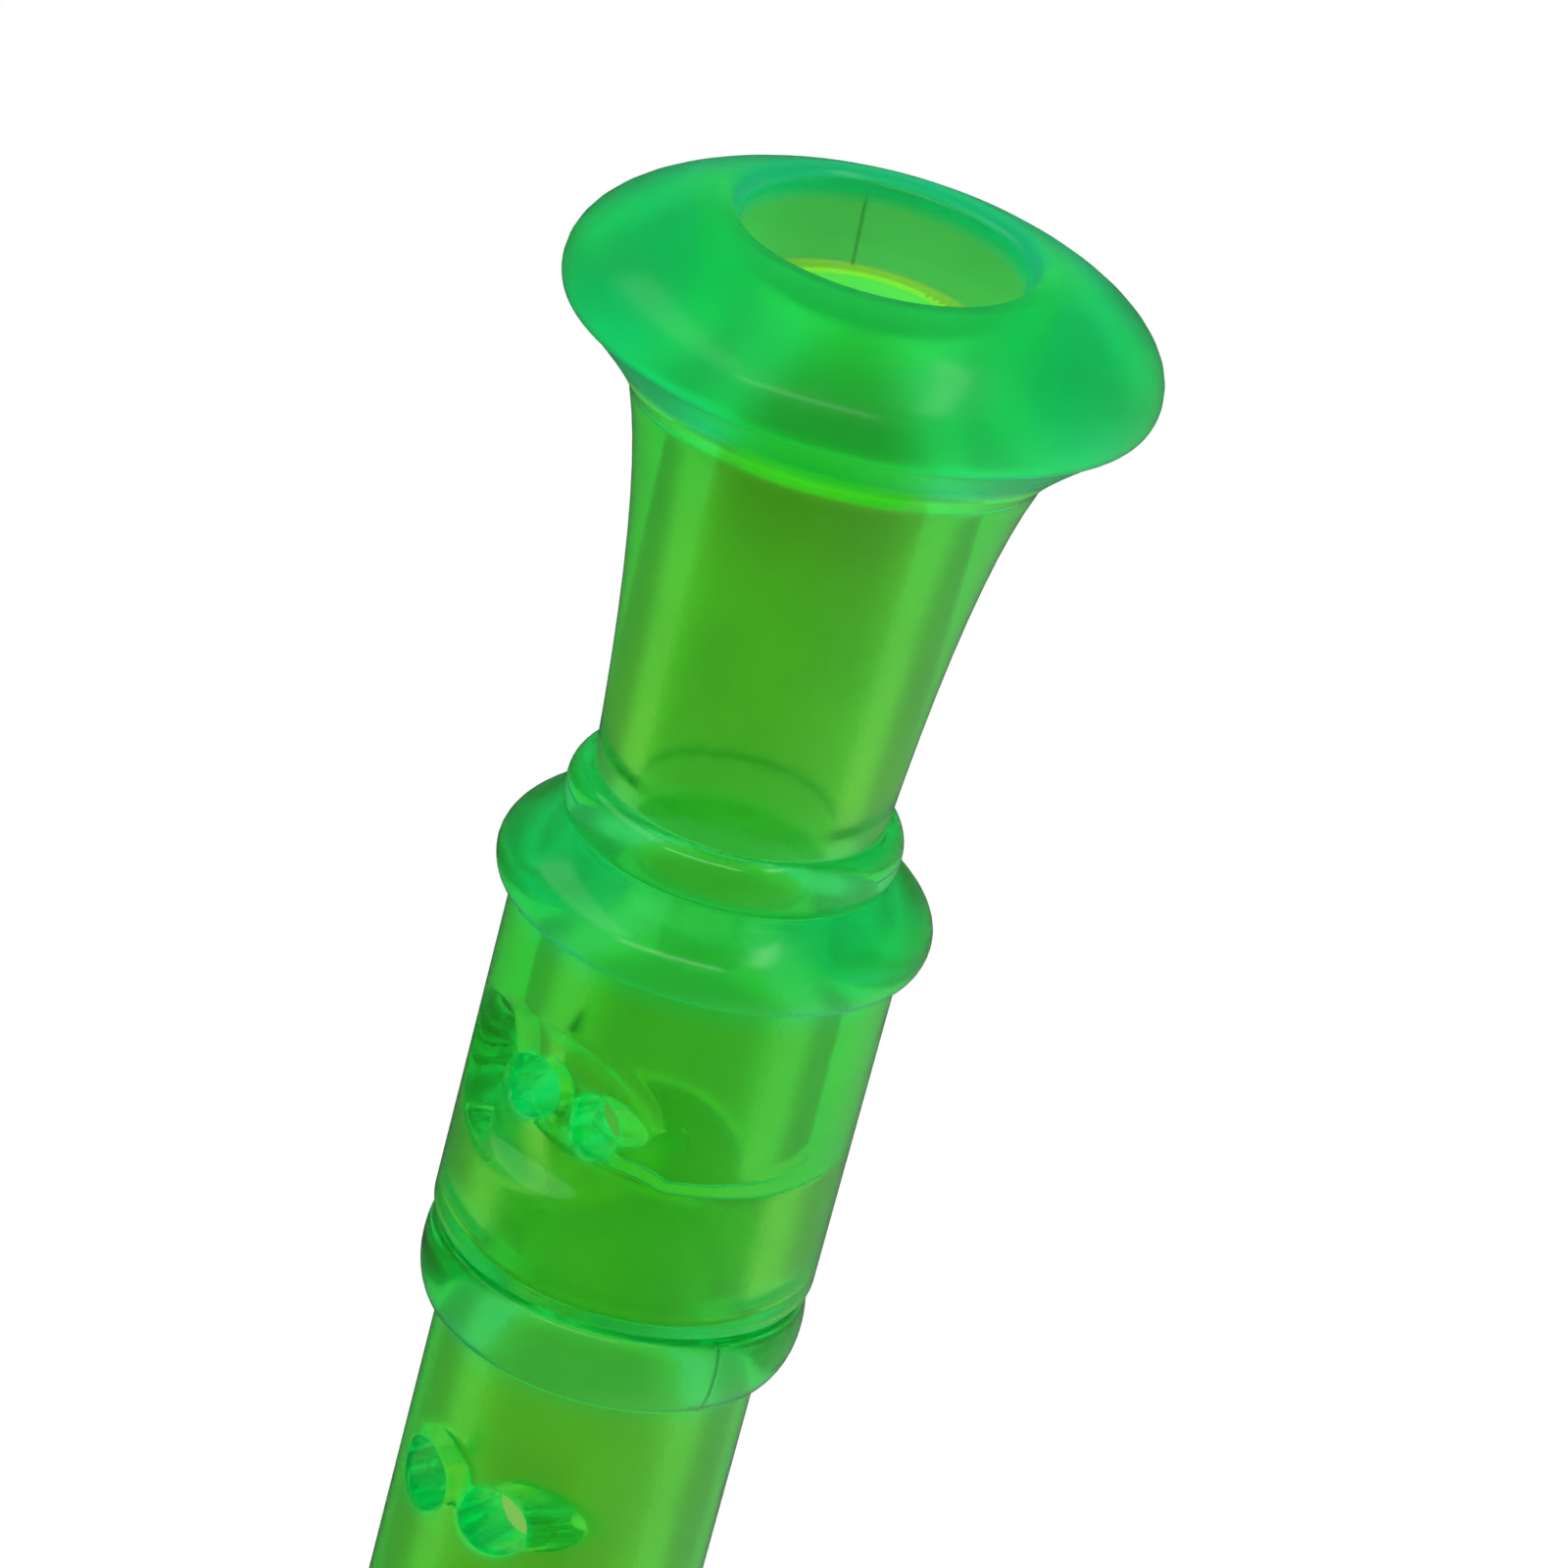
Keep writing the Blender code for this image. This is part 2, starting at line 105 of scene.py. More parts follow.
# Middle joint
TUBE_WALL = 3.05 * MM
TUBE_LENGTH = 122.4 * MM
COLLAR_LENGTH = 5.3 * MM
COLLAR_CREST = 2.1 * MM
FOOT_TENON_WALL = 2.0 * MM
FOOT_TENON_LENGTH = 8.6 * MM
HEAD_TENON_WALL = 1.7 * MM
HEAD_TENON_LENGTH = 20.0 * MM
TENON_CHAMFER = 0.5 * MM

# Socket bodies of the foot and the head
SOCKET_WALL = 2.8 * MM
FOOT_BODY_BELOW_SOCKET = 13.2 * MM
HEAD_BODY_ABOVE_SOCKET = 5.0 * MM
EDGE_ROUND = 0.8 * MM
SOCKET_CHAMFER = 0.4 * MM

# Tone holes as (height, diameter), with heights above the middle joint's lower face, and the foot's scoop
FOOT_DOUBLE_D = 3.5 * MM
MIDDLE_DOUBLE_D = 4.1 * MM
MIDDLE_DOUBLE_HEIGHT = 15.0 * MM
DOUBLE_HOLE_WALL = 1.4 * MM
FOOT_HOLE_MARGIN = 0.75 * MM
SCOOP_R = 6.0 * MM
SCOOP_WALL = 0.6 * MM
SCOOP_BELOW_SOCKET = 3.2 * MM
SCOOP_SPREAD = -0.3  # greatest sine of a bearing that the scoop reaches
FINGER_HOLES = (
    (31.3 * MM, 5.6 * MM),
    (50.8 * MM, 5.2 * MM),
    (73.3 * MM, 5.2 * MM),
    (92.3 * MM, 5.6 * MM),
    (110.3 * MM, 4.8 * MM),
)
THUMB_HOLE = (117.5 * MM, 5.2 * MM)

# Head joint
HEAD_NECK_WALL = 3.2 * MM
HEAD_NECK_LENGTH = 28.0 * MM
BARREL_WALL = 5.1 * MM
BARREL_LENGTH = 38.0 * MM
BEAK_LENGTH = 31.0 * MM
BEAK_TIP_WALL = 2.7 * MM
BEAK_CUT_R = 45.0 * MM
BEAK_LOWER_LIP = 2.9 * MM
WINDWAY_LENGTH = 44.0 * MM
WINDWAY_WIDTH = 10.4 * MM
WINDWAY_FLOOR_CUT = 0.5 * MM
WINDWAY_ROOF_CUT = 0.4 * MM
WINDOW_LENGTH = 4.0 * MM
WINDOW_REVEAL = 0.3 * MM
LABIUM_EDGE = 0.3 * MM
LABIUM_RAMP_LENGTH = 18.0 * MM

# Radii that follow from the sizes above
BELL_FACE_R = BELL_MOUTH_R + BELL_LIP + BELL_FACE_WIDTH
NECK_R = FOOT_BORE_R + NECK_WALL
NECK_FLARE_R = NECK_R + NECK_FLARE_RISE
TUBE_R = MIDDLE_BORE_HIGH_R + TUBE_WALL
FOOT_TENON_R = MIDDLE_BORE_LOW_R + FOOT_TENON_WALL
FOOT_SOCKET_R = FOOT_TENON_R + SLIP
HEAD_TENON_R = MIDDLE_BORE_HIGH_R + HEAD_TENON_WALL
HEAD_SOCKET_R = HEAD_TENON_R + SLIP
BODY_R = HEAD_SOCKET_R + SOCKET_WALL
HEAD_NECK_R = HEAD_BORE_R + HEAD_NECK_WALL
BARREL_R = HEAD_BORE_R + BARREL_WALL
BEAK_TIP_R = HEAD_BORE_R + BEAK_TIP_WALL
BLOCK_R = HEAD_BORE_R - SLIP
WINDWAY_FLOOR_R = BLOCK_R - WINDWAY_FLOOR_CUT
WINDWAY_ROOF_R = HEAD_BORE_R + WINDWAY_ROOF_CUT

# Heights that follow
FLARE_HEIGHT = BELL_DOME_HEIGHT + RIM_UNDERSIDE_HEIGHT
NECK_TOP = FLARE_HEIGHT + NECK_LENGTH
FOOT_SOCKET_FLOOR = NECK_TOP + SMALL_BEAD_LENGTH + LARGE_BEAD_LENGTH + FOOT_BODY_BELOW_SOCKET
FOOT_LENGTH = FOOT_SOCKET_FLOOR + FOOT_TENON_LENGTH
FOOT_HOLE_HEIGHT = FOOT_SOCKET_FLOOR - FOOT_HOLE_MARGIN - FOOT_DOUBLE_D / 2
SCOOP_HEIGHT = FOOT_SOCKET_FLOOR - SCOOP_BELOW_SOCKET
MIDDLE_BASE = FOOT_LENGTH + SLIP
MIDDLE_LENGTH = COLLAR_LENGTH + TUBE_LENGTH + COLLAR_LENGTH
HEAD_BASE = MIDDLE_BASE + MIDDLE_LENGTH + SLIP
HEAD_NECK_START = HEAD_TENON_LENGTH + HEAD_BODY_ABOVE_SOCKET + LARGE_BEAD_LENGTH + SMALL_BEAD_LENGTH
BARREL_START = HEAD_NECK_START + HEAD_NECK_LENGTH
BEAK_START = BARREL_START + BARREL_LENGTH
HEAD_LENGTH = BEAK_START + BEAK_LENGTH
WINDOW_TOP = HEAD_LENGTH - WINDWAY_LENGTH
LABIUM_HEIGHT = WINDOW_TOP - WINDOW_LENGTH

# Directions: the signs of Y at the front and at the back, and the turn from Z to X
FRONT = -1
BACK = 1
ALONG_X = Matrix.Rotation(math.radians(90.0), 4, "Y")

# Tints of the plastic on each kind of surface
TUBE_TINT = (0.265, 0.55, 0.04, 1.0)
RING_TINT = (0.035, 0.72, 0.27, 1.0)
HOLE_TINT = (0.01, 0.5, 0.06, 1.0)
MOUTH_TINT = (1.0, 0.47, 0.04, 1.0)
INNER_TINT = (0.9, 0.95, 0.5, 1.0)
FOOT_INNER_TINT = (0.6, 1.0, 0.45, 1.0)
TENON_TINT = (0.3, 0.88, 0.32, 1.0)
SMALL_BEAD_DEPTH = 0.25  # share of the ring's tint
LARGE_BEAD_DEPTH = 0.65
COLLAR_DEPTH = 0.45
RING_FADE = 1.5 * MM
RIM_FADE_START = 3.4 * MM  # how far before the flare the rim's tint starts to fade
HOLE_FADE = 0.6 * MM
MOUTH_FADE = 20.0 * MM

# Painted glow: emission in the holes and the bell that stands in for light, though the plastic is no lamp
NO_GLOW = (0.0, 0.0, 0.0, 1.0)
PAINTED_HOLE_GLOW = (0.0, 0.15, 0.03, 1.0)
PAINTED_BELL_GLOW = (0.04, 0.36, 0.0, 1.0)  # painted glow behind the mouth's step and under the rim
MOUTH_GLOW_SHARE = 0.15
STEP_FADE = 4.0 * MM
COVE_LINE = 1.9 * MM  # how far before the flare the painted line of light runs round under the rim
COVE_FADE = 0.9 * MM

# Depth and gloss of the plastic
PLASTIC_IOR = 1.49
CLEARNESS = 0.97
DEPTH_TINT = (0.0, 0.985, 0.94, 1.0)
DEPTH_DENSITY = 110.0
GLAZE = 0.4  # clear skin that keeps the outside glossy
GLAZE_ROUGHNESS = 0.12
OUTER_ROUGHNESS = 0.06
RING_ROUGHNESS = 0.33
BORE_ROUGHNESS = 0.18
HOLE_ROUGHNESS = 0.2
WEAR_ROUGHNESS = 0.08
WEAR_START = 0.02  # mean bend of the mesh at a vertex where wear begins
WEAR_FULL = 0.1

# Clouds, waves and scuffs in the plastic
NOISE_LOW, NOISE_HIGH = 0.3, 0.7  # span of a noise that is used
CLOUD_SCALE = 110.0
CLOUD_DETAIL = 3.0
CLOUD_SHADES = (0.9, 1.08)
SCUFF_SCALE = 900.0
SCUFF_DETAIL = 2.0
SCUFF_MARKS = (0.9, 1.15)
WAVE_HEIGHT = 0.05 * MM
SCUFF_HEIGHT = 0.0006 * MM

# Mould seams, at bearings round the axis
SEAM_WIDTH = 0.2 * MM
SEAM_HEIGHT = 0.02 * MM
SEAM_SHADE = 0.75
FOOT_SEAM = math.radians(41.0)
MIDDLE_SEAM = math.radians(14.0)

# Light: the studio as the plastic shows it, darker straight behind the object, and the room in reflections
WHITE = (1.0, 1.0, 1.0, 1.0)
STUDIO_LEVEL = 1.2
DARK_SIDE = Vector((0.516, 0.704, 0.33)).normalized()
DARK_SIDE_EDGE = 0.7  # cosine of the angle at which the dark side ends
DARK_SIDE_LEVEL = 0.72
ROOM_LEVEL = 0.06
BRIGHT_SIDE = Vector((-0.64, 0.6, 0.47)).normalized()
BRIGHT_SIDE_EDGE = 0.3  # cosine of the angle at which the bright side ends
BRIGHT_SIDE_LEVEL = 0.3
FLOOR_LIGHT = 0.55
BOUNCES = 48

# Lamps: directions from the object to both ends of each strip light, its width and power, and the top lamp
LAMP_DISTANCE = 0.7
STRIPS = (
    (Vector((0.85, 0.0, -0.57)), Vector((0.11, -0.7, -0.67)), 0.24, 0.3),
    (Vector((0.01, 0.42, -0.91)), Vector((-0.53, -0.09, -0.84)), 0.08, 0.25),
    (Vector((0.13, -0.79, -0.59)), Vector((-0.57, -0.39, -0.72)), 0.08, 0.3),
)
TOP_LAMP = Vector((-0.35, -0.25, 0.9))
TOP_LAMP_EDGE = Vector((1.0, 0.0, 0.0))
TOP_LAMP_SIZE = 0.5
TOP_LAMP_POWER = 4.0

# Floor
FLOOR_R = 1.5
FLOOR_SIDES = 96
FLOOR_COLOUR = (0.9, 0.9, 0.9, 1.0)
FLOOR_ROUGHNESS = 0.9

# Camera, with the bell at the top of the picture
CAMERA_PLACE = Vector((-239.49, -317.81, -155.83)) * MM
CAMERA_AIM = Vector((-0.086, 3.647, 34.887)) * MM
CAMERA_UP = Vector((0.0, 0.0, -1.0))
CAMERA_ROLL = math.radians(14.943)
CAMERA_LENS = 180.03
CAMERA_SENSOR = 36.0
CAMERA_NEAR = 10.0 * MM


# Outlines


def bend(start, pull, end, steps=CURVE_STEPS):
    """Points of a quadratic curve after its start, drawn towards the point pull."""
    points = []
    for step in range(1, steps + 1):
        t = step / steps
        shares = ((1 - t) ** 2, 2 * t * (1 - t), t**2)
        points.append(tuple(sum(s * x for s, x in zip(shares, axis)) for axis in zip(start, pull, end)))
    return points


def quarter(start, end, axial_first):
    """Points of a quarter ellipse after its start: it leaves along the axis, or else square to it."""
    points = []
    for step in range(1, CURVE_STEPS + 1):
        turn = math.radians(90.0) * step / CURVE_STEPS
        slow, fast = 1 - math.cos(turn), math.sin(turn)
        across, along = (slow, fast) if axial_first else (fast, slow)
        points.append((start[0] + (end[0] - start[0]) * across, start[1] + (end[1] - start[1]) * along))
    return points


def soften(outline):
    """The closed outline with each sharp corner rounded off."""
    soft = []
    for i, corner in enumerate(outline):
        back = Vector(outline[i - 1]) - Vector(corner)
        on = Vector(outline[(i + 1) % len(outline)]) - Vector(corner)
        if back.angle(-on) < SHARP_TURN:
            soft.append(corner)
            continue
        start = Vector(corner) + back.normalized() * min(EDGE_SOFT, CORNER_SHARE * back.length)
        end = Vector(corner) + on.normalized() * min(EDGE_SOFT, CORNER_SHARE * on.length)
        soft += [tuple(start), *bend(start, corner, end, CORNER_STEPS)]
    return soft


def fill(outline, low=0.0, high=0.0):
    """The closed outline with its long runs divided, more finely between the heights low and high."""
    full = []
    for a, b in zip(outline, outline[1:] + outline[:1]):
        fine = low < (a[1] + b[1]) / 2 < high or low < a[1] < high
        parts = math.ceil(math.dist(a, b) / (SCOOP_ROW_LENGTH if fine else ROW_LENGTH))
        full += [(a[0] + (b[0] - a[0]) * i / parts, a[1] + (b[1] - a[1]) * i / parts) for i in range(parts)]
    return full


def beads(neck_r, neck_end, towards_body):
    """The outline of the small and the large bead, from the neck to the socket body."""
    neck = (neck_r, neck_end)
    groove = (neck_r + BEAD_GROOVE_RISE, neck_end + towards_body * SMALL_BEAD_LENGTH)
    body = (BODY_R, groove[1] + towards_body * LARGE_BEAD_LENGTH)
    small_crest = (neck_r + SMALL_BEAD_RISE, (neck[1] + groove[1]) / 2)
    large_crest = (BODY_R + LARGE_BEAD_RISE, body[1] - towards_body * LARGE_BEAD_CREST)
    shoulder = (large_crest[0], (groove[1] + large_crest[1]) / 2)
    outline = [neck, *quarter(neck, small_crest, False), *quarter(small_crest, groove, True)]
    return outline + bend(groove, shoulder, large_crest) + quarter(large_crest, body, True)


def foot_outline():
    """The foot joint from its socket's edge, over the outside to the bell, back through the bore."""
    mouth_edge = (FOOT_SOCKET_R + SOCKET_CHAMFER, FOOT_LENGTH)
    body_edge = (BODY_R - EDGE_ROUND, FOOT_LENGTH)
    flare = (NECK_FLARE_R, FLARE_HEIGHT)
    under_edge = (BELL_R - RIM_EDGE_ROUND / 2, BELL_DOME_HEIGHT + RIM_EDGE_ROUND)
    rim = (BELL_R, BELL_DOME_HEIGHT)
    lip = (BELL_FACE_R - BELL_FACE_WIDTH, 0.0)
    outline = [mouth_edge, body_edge, *quarter(body_edge, (BODY_R, FOOT_LENGTH - EDGE_ROUND), False)]
    outline += reversed(beads(NECK_R, NECK_TOP, 1))
    outline += bend((NECK_R, NECK_TOP), (NECK_R + NECK_COVE_OUT, FLARE_HEIGHT + NECK_COVE_UP), flare)
    outline += bend(flare, (NECK_FLARE_R + RIM_COVE_OUT, FLARE_HEIGHT - RIM_COVE_DOWN), under_edge)
    outline += quarter(under_edge, rim, False)
    outline += bend(rim, (BELL_R, BELL_DOME_PULL), (BELL_FACE_R, 0.0))
    outline += [lip, *quarter(lip, (BELL_MOUTH_R, BELL_LIP), False)]
    outline += [(BELL_STEP_R, BELL_STEP_DEPTH), (FOOT_BORE_R, BELL_STEP_DEPTH)]
    outline += [(FOOT_BORE_R, FOOT_SOCKET_FLOOR), (FOOT_SOCKET_R, FOOT_SOCKET_FLOOR)]
    return outline + [(FOOT_SOCKET_R, FOOT_LENGTH - SOCKET_CHAMFER)]


def collar(seat, outwards):
    """A collar's outline from its seating face, at the tenon, to the tube."""
    edge = (BODY_R - EDGE_ROUND, seat)
    crest = (BODY_R, seat + outwards * COLLAR_CREST)
    tube = (TUBE_R, seat + outwards * COLLAR_LENGTH)
    return [edge, *bend(edge, (BODY_R, seat), crest), *quarter(crest, tube, True)]


def middle_outline():
    """The middle joint from its upper tenon, over the outside to its lower end, back through the bore."""
    top = MIDDLE_LENGTH + HEAD_TENON_LENGTH
    bottom = -FOOT_TENON_LENGTH
    outline = [(HEAD_TENON_R - TENON_CHAMFER, top), (HEAD_TENON_R, top - TENON_CHAMFER)]
    outline += [(HEAD_TENON_R, MIDDLE_LENGTH), *collar(MIDDLE_LENGTH, -1)]
    outline += [*reversed(collar(0.0, 1)), (FOOT_TENON_R, 0.0)]
    outline += [(FOOT_TENON_R, bottom + TENON_CHAMFER), (FOOT_TENON_R - TENON_CHAMFER, bottom)]
    outline += [(MIDDLE_BORE_LOW_R, bottom), (MIDDLE_BORE_HIGH_R, top)]
    return [(radius, MIDDLE_BASE + height) for radius, height in outline]


def head_outline():
    """The head joint from the beak's tip, over the outside to its socket, back through the bore."""
    tip_edge = (BEAK_TIP_R - EDGE_ROUND, HEAD_LENGTH)
    tip_side = (BEAK_TIP_R, HEAD_LENGTH - EDGE_ROUND)
    barrel_low = (BARREL_R, BARREL_START)
    neck = (HEAD_NECK_R, HEAD_NECK_START)
    body_side = (BODY_R, EDGE_ROUND)
    outline = [tip_edge, *quarter(tip_edge, tip_side, False)]
    outline += bend(tip_side, (BARREL_R, (BEAK_START + HEAD_LENGTH) / 2), (BARREL_R, BEAK_START))
    outline += [barrel_low, *bend(barrel_low, (BARREL_R, (BARREL_START + HEAD_NECK_START) / 2), neck)]
    outline += beads(HEAD_NECK_R, HEAD_NECK_START, -1)[1:]
    outline += [body_side, *quarter(body_side, (BODY_R - EDGE_ROUND, 0.0), True)]
    outline += [(HEAD_SOCKET_R + SOCKET_CHAMFER, 0.0), (HEAD_SOCKET_R, SOCKET_CHAMFER)]
    outline += [(HEAD_SOCKET_R, HEAD_TENON_LENGTH), (HEAD_BORE_R, HEAD_TENON_LENGTH)]
    outline += [(HEAD_BORE_R, HEAD_LENGTH)]
    return [(radius, HEAD_BASE + height) for radius, height in outline]


# Turned meshes with tone holes


def even_bearings():
    """Bearings round the axis, evenly apart."""
    return [2 * math.pi * step / TURN_STEPS for step in range(TURN_STEPS)]


def front_bearings():
    """Bearings round the axis, closer together over the front half."""
    coarse = [math.pi * step / (TURN_STEPS // 2) for step in range(TURN_STEPS // 2)]
    count = FRONT_STEPS * TURN_STEPS // 2
    return coarse + [math.pi + math.pi * step / count for step in range(count)]


def plain_radius(radius, bearing, height):
    return radius


def scooped_radius(radius, bearing, height):
    """The foot's radius, cut back softly where the scoop runs across the front."""
    drop = SCOOP_R**2 - (height - SCOOP_HEIGHT) ** 2
    if drop <= 0 or math.sin(bearing) >= SCOOP_SPREAD or radius < FOOT_SOCKET_R:
        return radius
    hollow = (FOOT_SOCKET_R + SCOOP_WALL + SCOOP_R - math.sqrt(drop)) / -math.sin(bearing)
    overlap = max(SCOOP_SOFT - abs(radius - hollow), 0.0)
    return min(radius, hollow) - overlap**2 / (4 * SCOOP_SOFT)


def polar(radius, bearing, height):
    return (radius * math.cos(bearing), radius * math.sin(bearing), height)


def rows_near(outline, low, high):
    """The outer and the inner run of rows between two heights, each with a row more at its ends."""
    count = len(outline)
    within = [low < height < high for _, height in outline]
    runs = []
    for i in range(count):
        if within[i] and not within[i - 1]:
            length = 1
            while within[(i + length) % count]:
                length += 1
            runs.append([(i + step) % count for step in range(-1, length + 1)])
    return sorted(runs, key=lambda run: -outline[run[1]][0])


def columns_near(bearings, radius_at, hole, reach):
    """The run of columns that the hole crosses, with a column more at its ends."""
    x, height, _, side = hole
    count = len(bearings)
    crossed = []
    for bearing in bearings:
        place = radius_at(bearing, height) * math.cos(bearing)
        crossed.append(side * math.sin(bearing) > 0 and abs(place - x) < reach)
    first = next(i for i in range(count) if crossed[i] and not crossed[i - 1])
    return [(first + step) % count for step in range(-1, sum(crossed) + 1)]


def on_skin(x, z, side, radius_at):
    """The distance of a skin from the plane y = 0, at x and z."""
    y = radius_at(side * math.pi / 2, z)
    for _ in range(SKIN_PASSES):
        y = math.sqrt(max(radius_at(math.atan2(side * y, x), z) ** 2 - x**2, 0.0))
    return y


def zip_loops(shape, outer, inner):
    """Triangles between two loops of (angle, vertex), both in order of angle."""
    i = j = 0
    while i < len(outer) or j < len(inner):
        next_outer = outer[i][0] if i < len(outer) else math.inf
        next_inner = inner[j][0] if j < len(inner) else math.inf
        a, b = outer[i - 1][1], inner[j - 1][1]
        if next_outer <= next_inner:
            shape.faces.new((a, outer[i][1], b))
            i += 1
        else:
            shape.faces.new((a, inner[j][1], b))
            j += 1


def bridge(shape, first, second):
    """A closed band of faces between two loops with as many vertices each."""
    for i in range(len(first)):
        shape.faces.new((first[i - 1], first[i], second[i], second[i - 1]))


def pierce(shape, grid, outline, bearings, hole, limit):
    """Opens a round hole along Y with soft edges. Returns the cells of the grid that it takes."""
    x, height, diameter, side = hole
    reach = diameter / 2 + HOLE_SOFT + HOLE_MARGIN
    angles = [2 * math.pi * step / HOLE_STEPS - math.pi for step in range(HOLE_STEPS)]
    taken, walls = set(), []
    for rows, inwards in zip(rows_near(outline, height - reach, height + reach), (-1, 1)):
        heights, radii = zip(*sorted((outline[row][1], outline[row][0]) for row in rows))

        def radius_at(bearing, z):
            return limit(float(np.interp(z, heights, radii)), bearing, z)

        def ring(radius, depth):
            verts = []
            for angle in angles:
                px, pz = x + radius * math.cos(angle), height + radius * math.sin(angle)
                y = on_skin(px, pz, side, radius_at) + inwards * depth
                verts.append(shape.verts.new((px, side * y, pz)))
            return verts

        columns = columns_near(bearings, radius_at, hole, reach)
        taken |= {(row, column) for row in rows[:-1] for column in columns[:-1]}
        edge = {(row, column) for row in rows for column in (columns[0], columns[-1])}
        edge |= {(row, column) for row in (rows[0], rows[-1]) for column in columns}
        verts = [grid[row][column] for row, column in edge]
        border = [(math.atan2(v.co.z - height, v.co.x - x), v) for v in verts]
        border.sort(key=lambda item: item[0])
        rings = [ring(reach, 0.0)]
        for step in range(CORNER_STEPS + 1):
            turn = math.radians(90.0) * step / CORNER_STEPS
            radius = diameter / 2 + HOLE_SOFT * (1 - math.sin(turn))
            rings.append(ring(radius, HOLE_SOFT * (1 - math.cos(turn))))
        zip_loops(shape, border, list(zip(angles, rings[0])))
        for first, second in zip(rings, rings[1:]):
            bridge(shape, first, second)
        walls.append(rings[-1])
    steps = [walls[0]]
    for step in range(1, HOLE_WALL_STEPS):
        depth = step / HOLE_WALL_STEPS
        steps.append([shape.verts.new(a.co.lerp(b.co, depth)) for a, b in zip(*walls)])
    for first, second in zip(steps, [*steps[1:], walls[1]]):
        bridge(shape, first, second)
    return taken


def turned_shape(outline, bearings, holes=(), limit=plain_radius):
    """A closed shape of revolution with round holes in it."""
    shape = bmesh.new()
    grid = [[shape.verts.new(polar(limit(r, t, z), t, z)) for t in bearings] for r, z in outline]
    taken = set()
    for hole in holes:
        taken |= pierce(shape, grid, outline, bearings, hole, limit)
    for row in range(len(outline)):
        for column in range(len(bearings)):
            if (row, column) not in taken:
                low, high = grid[row], grid[(row + 1) % len(outline)]
                on = (column + 1) % len(bearings)
                shape.faces.new((low[column], low[on], high[on], high[column]))
    loose = [v for v in shape.verts if not v.link_faces]
    bmesh.ops.delete(shape, geom=loose, context="VERTS")
    bmesh.ops.recalc_face_normals(shape, faces=shape.faces)
    return shape


def piece_from(name, shape):
    """A new smooth-shaded object that takes over the shape."""
    mesh = bpy.data.meshes.new(name)
    shape.to_mesh(mesh)
    shape.free()
    mesh.shade_smooth()
    piece = bpy.data.objects.new(name, mesh)
    bpy.context.scene.collection.objects.link(piece)
    return piece


def double_hole(height, diameter):
    """Two holes side by side at the front, each as (x, height, diameter, side)."""
    across = (diameter + DOUBLE_HOLE_WALL) / 2
    return [(sign * across, height, diameter, FRONT) for sign in (-1, 1)]


def build_foot(holes):
    outline = fill(soften(foot_outline()), SCOOP_HEIGHT - SCOOP_R, SCOOP_HEIGHT + SCOOP_R)
    return piece_from("clear_foot_joint", turned_shape(outline, front_bearings(), holes, scooped_radius))


def build_middle(holes):
    outline = fill(soften(middle_outline()))
    return piece_from("clear_middle_joint", turned_shape(outline, even_bearings(), holes))


# Head joint and block


def plug_shape(outline, bearings):
    """A turned shape whose outline ends in a flat face at each end."""
    shape = bmesh.new()
    rings = [[shape.verts.new(polar(r, t, z)) for t in bearings] for r, z in outline]
    for low, high in zip(rings, rings[1:]):
        bridge(shape, low, high)
    shape.faces.new(rings[0])
    shape.faces.new(rings[-1])
    bmesh.ops.recalc_face_normals(shape, faces=shape.faces)
    return shape


def front_strip(outline, width):
    """A closed shape over a band across the front, with the same outline of (radius, height) at every x."""
    shape = bmesh.new()
    across = [width * (step / WINDWAY_FACETS - 0.5) for step in range(WINDWAY_FACETS + 1)]
    slices = [[shape.verts.new((x, FRONT * math.sqrt(r**2 - x**2), z)) for r, z in outline] for x in across]
    for first, second in zip(slices, slices[1:]):
        bridge(shape, first, second)
    shape.faces.new(slices[0])
    shape.faces.new(slices[-1])
    bmesh.ops.recalc_face_normals(shape, faces=shape.faces)
    return shape


def windway_cutter():
    """The curved slot from the window to the tip, between a roof in the head and a floor on the block."""
    low, high = HEAD_BASE + WINDOW_TOP - WINDOW_LENGTH / 2, HEAD_BASE + HEAD_LENGTH + OVERCUT
    outline = [(WINDWAY_FLOOR_R, low), (WINDWAY_ROOF_R, low)]
    outline += [(WINDWAY_ROOF_R, high), (WINDWAY_FLOOR_R, high)]
    return piece_from("windway_cutter", front_strip(outline, WINDWAY_WIDTH))


def window_cutter():
    """The window and the ramp that rises from the labium's edge to the barrel."""
    edge_r = HEAD_BORE_R + LABIUM_EDGE
    far_r = BARREL_R + OVERCUT
    inner_r = HEAD_BORE_R - OVERCUT / 2
    top, edge = HEAD_BASE + WINDOW_TOP, HEAD_BASE + LABIUM_HEIGHT
    ramp_foot = edge - LABIUM_RAMP_LENGTH * (far_r - edge_r) / (BARREL_R - edge_r)
    outline = [(far_r, top), (far_r, ramp_foot), (edge_r, edge), (inner_r, edge), (inner_r, top)]
    return piece_from("window_cutter", front_strip(outline, WINDWAY_WIDTH + 2 * WINDOW_REVEAL))


